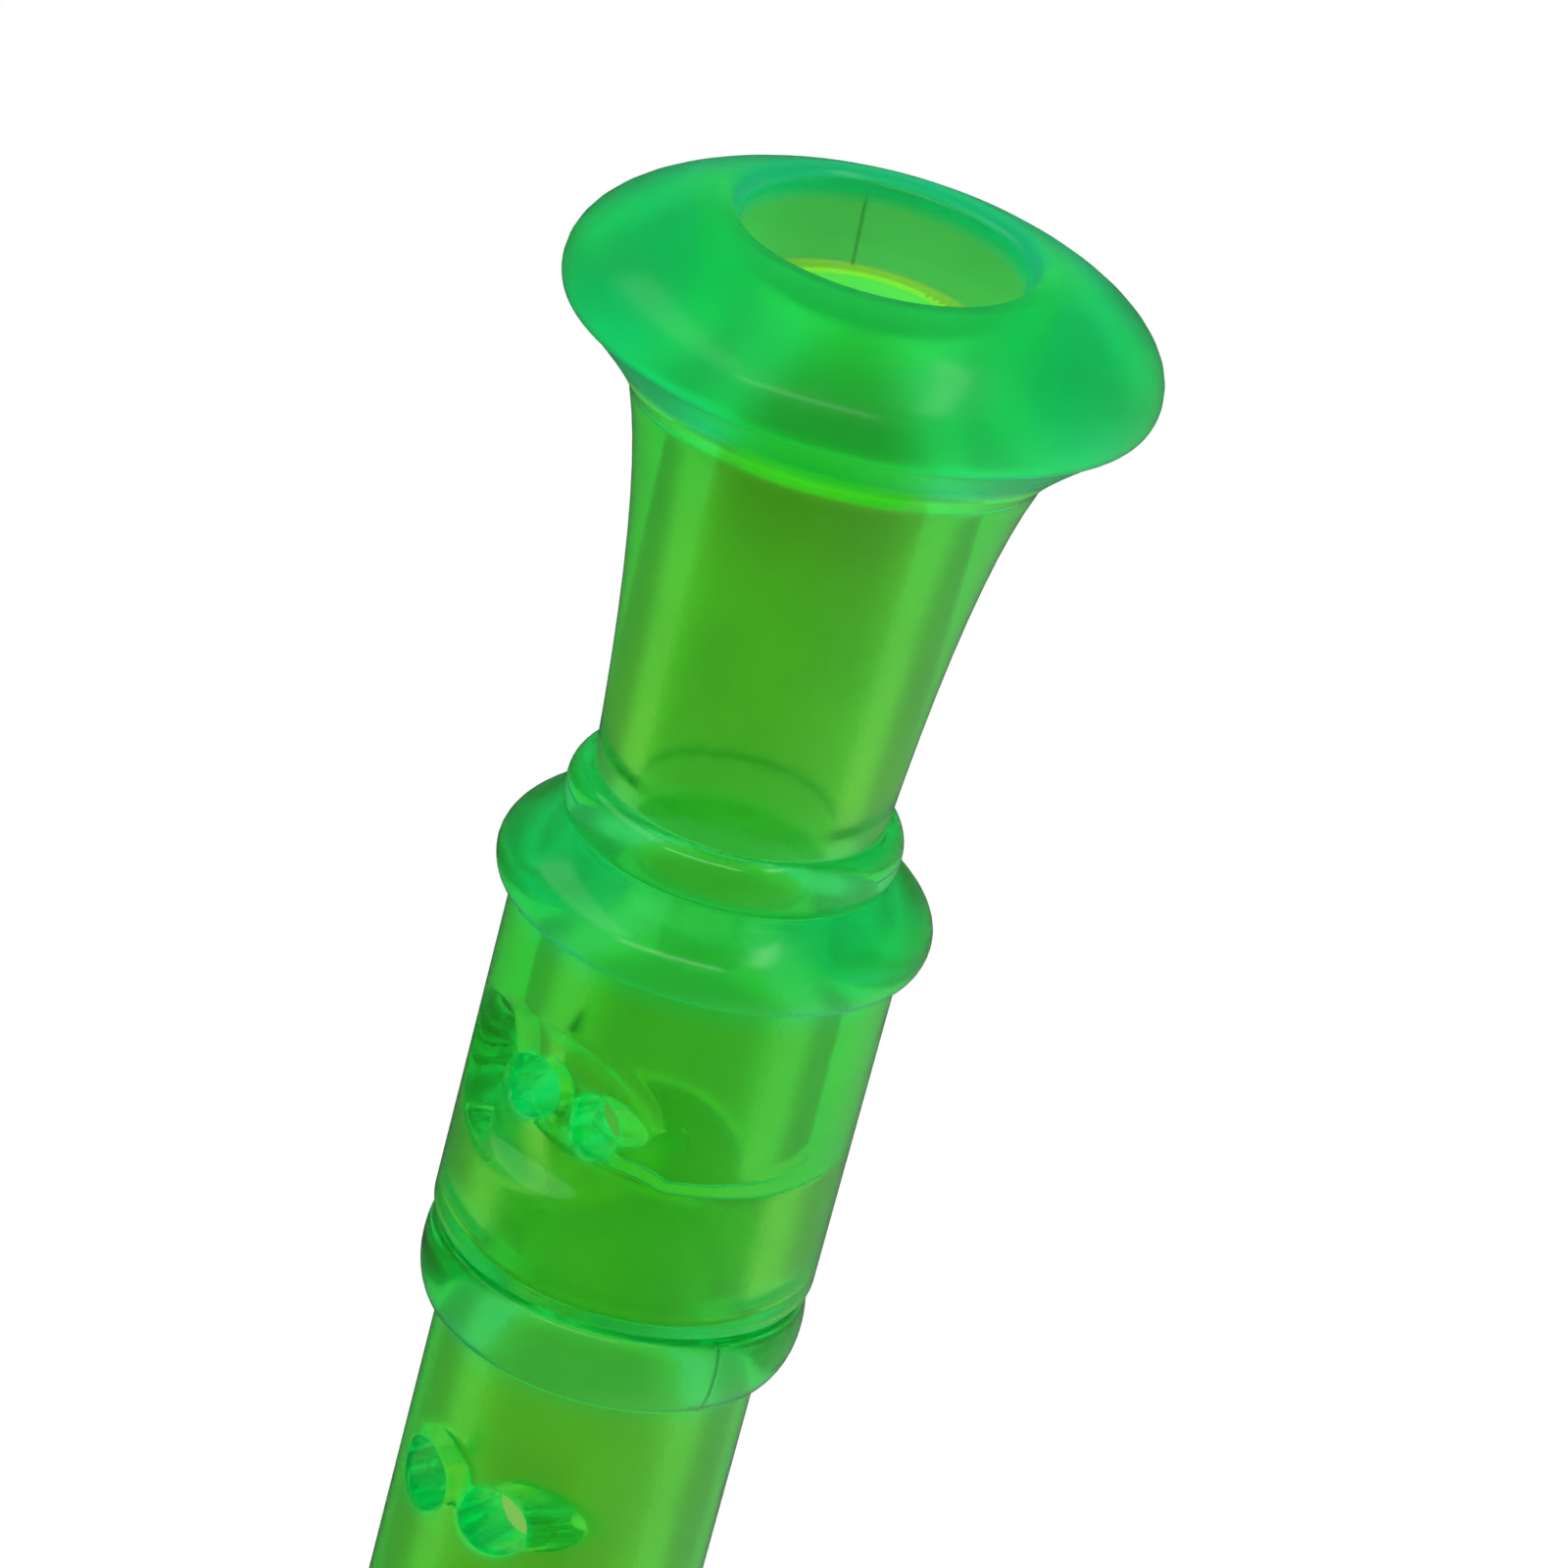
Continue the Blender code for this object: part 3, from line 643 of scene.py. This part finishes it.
def beak_cutter():
    """A large cylinder across the back, whose face is the hollow underside of the beak."""
    tip = (BEAK_LOWER_LIP - WINDWAY_FLOOR_R, HEAD_BASE + HEAD_LENGTH)
    back = (BARREL_R, HEAD_BASE + BEAK_START)
    chord = math.dist(tip, back)
    along = ((back[0] - tip[0]) / chord, (back[1] - tip[1]) / chord)
    rise = math.sqrt(BEAK_CUT_R**2 - (chord / 2) ** 2)
    centre = (0.0, (tip[0] + back[0]) / 2 - along[1] * rise, (tip[1] + back[1]) / 2 + along[0] * rise)
    shape = bmesh.new()
    bmesh.ops.create_cone(
        shape,
        cap_ends=True,
        segments=BEAK_SIDES,
        radius1=BEAK_CUT_R,
        radius2=BEAK_CUT_R,
        depth=2 * (BARREL_R + OVERCUT),
        matrix=Matrix.Translation(centre) @ ALONG_X,
    )
    return piece_from("beak_cutter", shape)


def carve(piece, cutters):
    """Cuts the cutters out of the piece and keeps the new edges sharp in its shading."""
    for cutter in cutters:
        modifier = piece.modifiers.new(cutter.name, "BOOLEAN")
        modifier.solver = "EXACT"
        modifier.object = cutter
    carved = piece.evaluated_get(bpy.context.evaluated_depsgraph_get())
    mesh = bpy.data.meshes.new_from_object(carved)
    piece.modifiers.clear()
    piece.data = mesh
    mesh.shade_smooth()
    mesh.set_sharp_from_angle(angle=SHARP_TURN)


def build_head_and_block():
    """The head joint and its block, which share the windway and the underside of the beak."""
    outline = fill(soften(head_outline()))
    head = piece_from("clear_head_joint", turned_shape(outline, even_bearings()))
    low, high = HEAD_BASE + WINDOW_TOP, HEAD_BASE + HEAD_LENGTH
    block_outline = [(BLOCK_R - EDGE_SOFT, low), (BLOCK_R, low + EDGE_SOFT), (BLOCK_R, high - EDGE_SOFT)]
    block_outline.append((BLOCK_R - EDGE_SOFT, high))
    block = piece_from("clear_fipple_block", plug_shape(block_outline, even_bearings()))
    windway, window, beak = windway_cutter(), window_cutter(), beak_cutter()
    carve(head, [window, windway, beak])
    carve(block, [windway, beak])
    for cutter in (windway, window, beak):
        bpy.data.objects.remove(cutter)
    return head, block


# Shares of each kind of surface, at a place on a piece


def inside(x, y, z):
    """1 on the bore, in the sockets and on the tenons, and 0 on every other surface."""
    spans = (
        (BELL_STEP_DEPTH, FOOT_BORE_R),
        (FOOT_SOCKET_FLOOR, FOOT_SOCKET_R + SOCKET_CHAMFER),
        (MIDDLE_BASE, MIDDLE_BORE_HIGH_R),
        (MIDDLE_BASE + MIDDLE_LENGTH, HEAD_SOCKET_R + SOCKET_CHAMFER),
        (HEAD_BASE + HEAD_TENON_LENGTH, HEAD_BORE_R),
    )
    reach = [radius for low, radius in spans if z > low - EDGE_SOFT]
    return float(bool(reach) and math.hypot(x, y) < reach[-1] + EDGE_SOFT)


def on_tenon(x, y, z):
    """1 on the outside of the tenons, and 0 on every other surface."""
    spans = (
        (FOOT_SOCKET_FLOOR, MIDDLE_BASE, MIDDLE_BORE_LOW_R, FOOT_TENON_R),
        (HEAD_BASE, HEAD_BASE + HEAD_TENON_LENGTH, MIDDLE_BORE_HIGH_R, HEAD_TENON_R),
    )
    for low, high, inner, outer in spans:
        if low <= z <= high and inner + SLIP < math.hypot(x, y) < outer + SLIP / 2:
            return 1.0
    return 0.0


def near_ring(x, y, z):
    """How deep the tint is at the rim, the beads and the collars, falling softly to 0 beside them."""
    foot_groove = NECK_TOP + SMALL_BEAD_LENGTH
    middle_top = MIDDLE_BASE + MIDDLE_LENGTH
    head_groove = HEAD_BASE + HEAD_NECK_START - SMALL_BEAD_LENGTH
    rings = (
        (0.0, FLARE_HEIGHT - RIM_FADE_START, 1.0),
        (NECK_TOP, foot_groove, SMALL_BEAD_DEPTH),
        (foot_groove, foot_groove + LARGE_BEAD_LENGTH, LARGE_BEAD_DEPTH),
        (MIDDLE_BASE, MIDDLE_BASE + COLLAR_LENGTH, COLLAR_DEPTH),
        (middle_top - COLLAR_LENGTH, middle_top, COLLAR_DEPTH),
        (head_groove - LARGE_BEAD_LENGTH, head_groove, LARGE_BEAD_DEPTH),
        (head_groove, HEAD_BASE + HEAD_NECK_START, SMALL_BEAD_DEPTH),
    )
    shares = []
    for low, high, depth in rings:
        gap = max(low - z, z - high, 0.0)
        shares.append(depth * max(1.0 - gap / RING_FADE, 0.0))
    return max(shares)


def near_mouth(x, y, z):
    """1 in the bell's mouth behind its lip, falling softly to 0 along the bore."""
    if math.hypot(x, y) > BELL_MOUTH_R + EDGE_SOFT or z < BELL_LIP:
        return 0.0
    return max(1.0 - max(z - BELL_STEP_DEPTH, 0.0) / MOUTH_FADE, 0.0)


def near_step(x, y, z):
    """Share of painted glow: 1 on the bore's edge at the mouth's step, falling to 0 along the bore, and
    less in the mouth.
    """
    if math.hypot(x, y) > FOOT_BORE_R + EDGE_SOFT:
        return MOUTH_GLOW_SHARE * near_mouth(x, y, z)
    return max(1.0 - max(z - BELL_STEP_DEPTH, 0.0) / STEP_FADE, 0.0)


def near_cove(x, y, z):
    """Share of a painted line of light: 1 along a line round the underside of the rim, falling softly to 0
    at both sides.
    """
    if math.hypot(x, y) < NECK_R:
        return 0.0
    return max(1.0 - abs(FLARE_HEIGHT - COVE_LINE - z) / COVE_FADE, 0.0)


def painted_bell_glow(x, y, z):
    """How much painted glow the bell has at a place."""
    return max(near_step(x, y, z), near_cove(x, y, z))


def near_seam(x, y, z):
    """1 where the mould seam shows: on the wall of the bell's mouth and on the collars."""
    if z < MIDDLE_BASE:
        return float(BELL_LIP < z < BELL_STEP_DEPTH and math.hypot(x, y) < BELL_MOUTH_R + EDGE_SOFT)
    gap = min(z - MIDDLE_BASE, MIDDLE_BASE + MIDDLE_LENGTH - z)
    return float(0.0 <= gap <= COLLAR_LENGTH and math.hypot(x, y) > TUBE_R)


def near_hole(holes, x, y, z):
    """1 on a tone hole's wall and on its rounded edges, falling softly to 0 round it."""
    shares = [0.0]
    for across, height, diameter, side in holes:
        if side * y > 0:
            gap = math.hypot(x - across, z - height) - diameter / 2
            shares.append(1.0 - max(gap, 0.0) / HOLE_FADE)
    return max(shares)


def edge_wear(mesh):
    """For each vertex a share that is 0 on flat and hollow places and 1 on a sharp outer edge."""
    shape = bmesh.new()
    shape.from_mesh(mesh)
    shares = []
    for vert in shape.verts:
        spokes = [(edge.other_vert(vert).co - vert.co).normalized() for edge in vert.link_edges]
        turn = sum(-vert.normal.dot(spoke) for spoke in spokes) / len(spokes)
        shares.append(min(max((turn - WEAR_START) / (WEAR_FULL - WEAR_START), 0.0), 1.0))
    shape.free()
    return shares


def add_shares(mesh, name, shares):
    """Keeps a share for each vertex on the mesh, where the material reads it."""
    mesh.attributes.new(name, "FLOAT", "POINT").data.foreach_set("value", shares)


# Plastic


def node(tree, kind, settings=None, **inputs):
    """A new node with its settings and inputs. An input is a socket to link or a plain value."""
    made = tree.nodes.new("ShaderNode" + kind)
    for key, value in (settings or {}).items():
        setattr(made, key, value)
    for key, value in inputs.items():
        socket = made.inputs[int(key[1:])] if key[0] == "_" else made.inputs[key.replace("_", " ")]
        if isinstance(value, bpy.types.NodeSocket):
            tree.links.new(value, socket)
        else:
            socket.default_value = value
    return made


def share(tree, name):
    """The share of that name on the mesh."""
    return node(tree, "Attribute", {"attribute_name": name}).outputs["Fac"]


def blend(tree, part, start, end):
    """The colour or value that lies at the share part between start and end."""
    if isinstance(end, tuple):
        return node(tree, "Mix", {"data_type": "RGBA"}, _0=part, _6=start, _7=end).outputs[2]
    return node(tree, "Mix", _0=part, _2=start, _3=end).outputs[0]


def product(tree, first, second):
    return node(tree, "Math", {"operation": "MULTIPLY"}, _0=first, _1=second).outputs[0]


def product_plus(tree, first, second, added):
    return node(tree, "Math", {"operation": "MULTIPLY_ADD"}, _0=first, _1=second, _2=added).outputs[0]


def dot(tree, vector, axis):
    return node(tree, "VectorMath", {"operation": "DOT_PRODUCT"}, _0=vector, _1=axis).outputs["Value"]


def noise(tree, place, scale, detail):
    return node(tree, "TexNoise", Vector=place, Scale=scale, Detail=detail).outputs["Fac"]


def spread(tree, value, low, high):
    """The noise value, spread over the span from low to high."""
    span = {"From_Min": NOISE_LOW, "From_Max": NOISE_HIGH, "To_Min": low, "To_Max": high}
    return node(tree, "MapRange", Value=value, **span).outputs[0]


def seam_line(tree, place, seam):
    """1 along the mould seam at the bearing seam, where the surface has one, falling to 0 at its edges."""
    across = (-math.sin(seam), math.cos(seam), 0.0)
    aside = node(tree, "Math", {"operation": "ABSOLUTE"}, _0=dot(tree, place, across)).outputs[0]
    line = node(tree, "MapRange", Value=aside, From_Max=SEAM_WIDTH, To_Min=1.0, To_Max=0.0).outputs[0]
    return product(tree, line, share(tree, "seam"))


def plastic_colour(tree, inner_tint, cloud, line):
    """The tint of each kind of surface, slightly cloudy, and dark along the mould seam."""
    tint = blend(tree, share(tree, "ring"), TUBE_TINT, RING_TINT)
    tint = blend(tree, share(tree, "inside"), tint, inner_tint)
    tint = blend(tree, share(tree, "tenon"), tint, TENON_TINT)
    tint = blend(tree, share(tree, "hole"), tint, HOLE_TINT)
    tint = blend(tree, share(tree, "mouth"), tint, MOUTH_TINT)
    shade = product_plus(tree, line, -SEAM_SHADE, spread(tree, cloud, *CLOUD_SHADES))
    return node(tree, "VectorMath", {"operation": "SCALE"}, _0=tint, Scale=shade).outputs["Vector"]


def plastic_roughness(tree, scuff):
    """Glossy outside, frosted at the rim, duller in the bore and the holes, and rubbed on worn edges."""
    ring = share(tree, "ring")
    gloss = blend(tree, product(tree, ring, ring), OUTER_ROUGHNESS, RING_ROUGHNESS)
    gloss = blend(tree, share(tree, "inside"), gloss, BORE_ROUGHNESS)
    gloss = blend(tree, share(tree, "hole"), gloss, HOLE_ROUGHNESS)
    rubbed = product(tree, product(tree, share(tree, "wear"), scuff), WEAR_ROUGHNESS)
    return product_plus(tree, gloss, spread(tree, scuff, *SCUFF_MARKS), rubbed)


def painted_glow(tree):
    """A weak painted glow, emitted in the holes and in the bell, though the plastic is no lamp."""
    glow = blend(tree, share(tree, "hole"), NO_GLOW, PAINTED_HOLE_GLOW)
    return blend(tree, share(tree, "bell"), glow, PAINTED_BELL_GLOW)


def plastic_relief(tree, cloud, scuff, line):
    """Slight waves and fine scuffs, with the mould seam raised."""
    waves = product_plus(tree, cloud, WAVE_HEIGHT, product(tree, line, SEAM_HEIGHT))
    height = product_plus(tree, scuff, SCUFF_HEIGHT, waves)
    return node(tree, "Bump", Distance=1.0, Height=height).outputs["Normal"]


def clear_plastic(name, inner_tint, seam):
    """Tinted see-through plastic, with a mould seam on the plane through the axis at the bearing seam."""
    material = bpy.data.materials.new(name)
    material.use_nodes = True
    tree = material.node_tree
    inputs = tree.nodes["Principled BSDF"].inputs
    place = node(tree, "TexCoord").outputs["Object"]
    cloud = noise(tree, place, CLOUD_SCALE, CLOUD_DETAIL)
    scuff = noise(tree, place, SCUFF_SCALE, SCUFF_DETAIL)
    line = seam_line(tree, place, seam)
    tree.links.new(plastic_colour(tree, inner_tint, cloud, line), inputs["Base Color"])
    tree.links.new(plastic_roughness(tree, scuff), inputs["Roughness"])
    # painted glow: emission that stands in for light in the holes and the bell
    tree.links.new(painted_glow(tree), inputs["Emission Color"])
    tree.links.new(plastic_relief(tree, cloud, scuff, line), inputs["Normal"])
    inputs["Emission Strength"].default_value = 1.0
    inputs["IOR"].default_value = PLASTIC_IOR
    inputs["Transmission Weight"].default_value = CLEARNESS
    inputs["Coat Weight"].default_value = GLAZE
    inputs["Coat Roughness"].default_value = GLAZE_ROUGHNESS
    depth = node(tree, "VolumeAbsorption", Color=DEPTH_TINT, Density=DEPTH_DENSITY).outputs["Volume"]
    tree.links.new(depth, tree.nodes["Material Output"].inputs["Volume"])
    return material


def dress(piece, body, cad_node, slot, inner_tint, seam=0.0, holes=()):
    """Marks each kind of surface on the piece, gives it its plastic and puts it on its body."""
    kinds = {
        "inside": inside,
        "tenon": on_tenon,
        "ring": near_ring,
        "hole": partial(near_hole, holes),
        "mouth": near_mouth,
        # "bell" holds the share of painted glow in the bell
        "bell": painted_bell_glow,
        "seam": near_seam,
    }
    for name, share_at in kinds.items():
        add_shares(piece.data, name, [share_at(*vert.co) for vert in piece.data.vertices])
    add_shares(piece.data, "wear", edge_wear(piece.data))
    piece.data.materials.append(clear_plastic(slot + "_clear", inner_tint, seam))
    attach(piece, body)
    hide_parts(cad_node)


# Light, floor and camera


def graded(tree, side, edge, level, side_level, interpolation):
    """A level that changes to side_level towards the direction side, from the cosine edge on."""
    direction = node(tree, "TexCoord").outputs["Generated"]
    span = {"From_Min": edge, "To_Min": level, "To_Max": side_level}
    settings = {"interpolation_type": interpolation}
    return node(tree, "MapRange", settings, Value=dot(tree, direction, side), **span).outputs[0]


def make_world():
    """White for the camera, a graded white studio through the plastic, and a dimmer room in reflections."""
    world = bpy.data.worlds.new("studio")
    bpy.context.scene.world = world
    world.use_nodes = True
    tree = world.node_tree
    path = node(tree, "LightPath").outputs
    studio = graded(tree, DARK_SIDE, DARK_SIDE_EDGE, STUDIO_LEVEL, DARK_SIDE_LEVEL, "SMOOTHSTEP")
    room = graded(tree, BRIGHT_SIDE, BRIGHT_SIDE_EDGE, ROOM_LEVEL, BRIGHT_SIDE_LEVEL, "LINEAR")
    lit = blend(tree, path["Is Diffuse Ray"], room, FLOOR_LIGHT)
    seen = blend(tree, path["Is Transmission Ray"], lit, studio)
    strength = blend(tree, path["Is Camera Ray"], seen, 1.0)
    background = tree.nodes["Background"].inputs
    tree.links.new(strength, background["Strength"])
    background["Color"].default_value = WHITE


def set_bounces():
    """Enough bounces for light to pass through every wall of the joints."""
    for limit in ("max_bounces", "transmission_bounces", "glossy_bounces", "diffuse_bounces"):
        setattr(bpy.context.scene.cycles, limit, BOUNCES)


def make_lamp(name, towards, long_axis, length, width, power):
    """A flat lamp that faces the middle of the foot. It shows in reflections, not through the plastic."""
    out = towards.normalized()
    along = (long_axis - long_axis.project(out)).normalized()
    data = bpy.data.lights.new(name, "AREA")
    data.shape = "RECTANGLE"
    data.size = length
    data.size_y = width
    data.energy = power
    lamp = bpy.data.objects.new(name, data)
    bpy.context.scene.collection.objects.link(lamp)
    axes = Matrix((along, out.cross(along), out)).transposed().to_4x4()
    lamp.matrix_world = Matrix.Translation(LAMP_DISTANCE * out + CAMERA_AIM) @ axes
    lamp.visible_camera = False
    lamp.visible_transmission = False
    return lamp


def make_lamps():
    """Strip lights for the highlights, and a lamp over the floor that doesn't show in reflections."""
    for number, (start, end, width, power) in enumerate(STRIPS):
        length = LAMP_DISTANCE * (end - start).length
        make_lamp(f"strip_{number}", start + end, end - start, length, width, power)
    top = make_lamp("top_lamp", TOP_LAMP, TOP_LAMP_EDGE, TOP_LAMP_SIZE, TOP_LAMP_SIZE, TOP_LAMP_POWER)
    top.visible_glossy = False


def pale_floor():
    """A matt floor that is clear from below."""
    material = bpy.data.materials.new("pale_floor")
    material.use_nodes = True
    tree = material.node_tree
    shader, output = tree.nodes["Principled BSDF"], tree.nodes["Material Output"]
    shader.inputs["Base Color"].default_value = FLOOR_COLOUR
    shader.inputs["Roughness"].default_value = FLOOR_ROUGHNESS
    below = node(tree, "NewGeometry").outputs["Backfacing"]
    clear = node(tree, "BsdfTransparent").outputs[0]
    both = node(tree, "MixShader", _0=below, _1=shader.outputs[0], _2=clear).outputs[0]
    tree.links.new(both, output.inputs["Surface"])
    return material


def make_floor():
    """A round floor that catches the shadow and stays out of the plastic."""
    shape = bmesh.new()
    bmesh.ops.create_circle(shape, cap_ends=True, segments=FLOOR_SIDES, radius=FLOOR_R)
    floor = piece_from("floor", shape)
    floor.data.materials.append(pale_floor())
    floor.visible_transmission = False
    floor.visible_glossy = False
    floor.visible_shadow = False


def make_camera():
    """The camera at the photograph's place, turned and rolled as it was."""
    forward = (CAMERA_AIM - CAMERA_PLACE).normalized()
    right = forward.cross(CAMERA_UP).normalized()
    up = right.cross(forward)
    axes = Matrix((right, up, -forward)).transposed().to_4x4()
    data = bpy.data.cameras.new("camera")
    data.lens = CAMERA_LENS
    data.sensor_width = CAMERA_SENSOR
    data.clip_start = CAMERA_NEAR
    camera = bpy.data.objects.new("camera", data)
    bpy.context.scene.collection.objects.link(camera)
    camera.matrix_world = Matrix.Translation(CAMERA_PLACE) @ axes @ Matrix.Rotation(CAMERA_ROLL, 4, "Z")
    bpy.context.scene.camera = camera


# The whole scene

foot_holes = double_hole(FOOT_HOLE_HEIGHT, FOOT_DOUBLE_D)
middle_holes = double_hole(MIDDLE_BASE + MIDDLE_DOUBLE_HEIGHT, MIDDLE_DOUBLE_D)
middle_holes += [(0.0, MIDDLE_BASE + height, diameter, FRONT) for height, diameter in FINGER_HOLES]
thumb_height, thumb_diameter = THUMB_HOLE
middle_holes.append((0.0, MIDDLE_BASE + thumb_height, thumb_diameter, BACK))
head, block = build_head_and_block()
dress(build_foot(foot_holes), "foot", "foot_joint", "foot_plastic", FOOT_INNER_TINT, FOOT_SEAM, foot_holes)
middle = build_middle(middle_holes)
dress(middle, "middle", "middle_joint", "middle_plastic", INNER_TINT, MIDDLE_SEAM, middle_holes)
dress(head, "head", "head_joint", "head_plastic", INNER_TINT)
dress(block, "head", "fipple_block", "block_plastic", TUBE_TINT)
make_world()
set_bounces()
make_lamps()
make_floor()
make_camera()
bpy.context.scene.view_settings.view_transform = "Standard"
